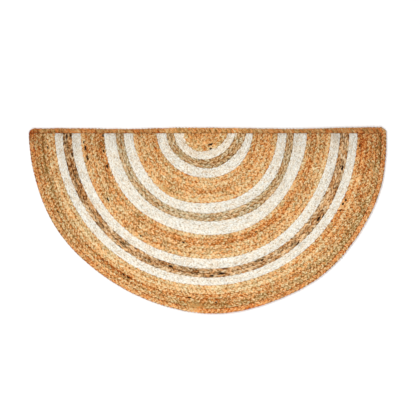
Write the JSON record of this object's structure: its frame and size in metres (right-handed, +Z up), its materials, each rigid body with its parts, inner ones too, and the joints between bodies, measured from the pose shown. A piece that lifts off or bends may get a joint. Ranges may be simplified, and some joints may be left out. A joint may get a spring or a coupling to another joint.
{
  "type": "half-round jute doormat",
  "caption": "Flat half-round doormat of braided jute: concentric half-ring bands of golden, cream, tan and brown braid, with a braid sewn round its edge.",
  "frame": {"origin": "middle of the mat's bounding box, on the floor that it lies on", "axes": "+X along the straight edge, to the right seen from the curved side; +Y from the curved edge to the straight edge; +Z up out of the floor"},
  "size_m": [0.897, 0.4678, 0.009],
  "materials": {
    "golden_jute": "coarse matt plant fibre, plaited",
    "deep_golden_jute": "coarse matt plant fibre, plaited",
    "cream_jute": "bleached matt plant fibre, plaited",
    "tan_jute": "dull matt plant fibre, plaited",
    "brown_jute": "dull matt plant fibre with dark strands, plaited"
  },
  "bodies": {
    "root": {"centre_coil": "golden_jute", "cream_band_1": "cream_jute", "tan_band_1": "tan_jute", "cream_band_2": "cream_jute", "golden_band_1": "golden_jute", "cream_band_3": "cream_jute", "tan_band_2": "tan_jute", "cream_band_4": "cream_jute", "golden_band_2": "golden_jute", "cream_band_5": "cream_jute", "brown_band": "brown_jute", "cream_band_6": "cream_jute", "golden_band_3": "golden_jute", "edge_braid": "deep_golden_jute"}
  },
  "joints": []
}
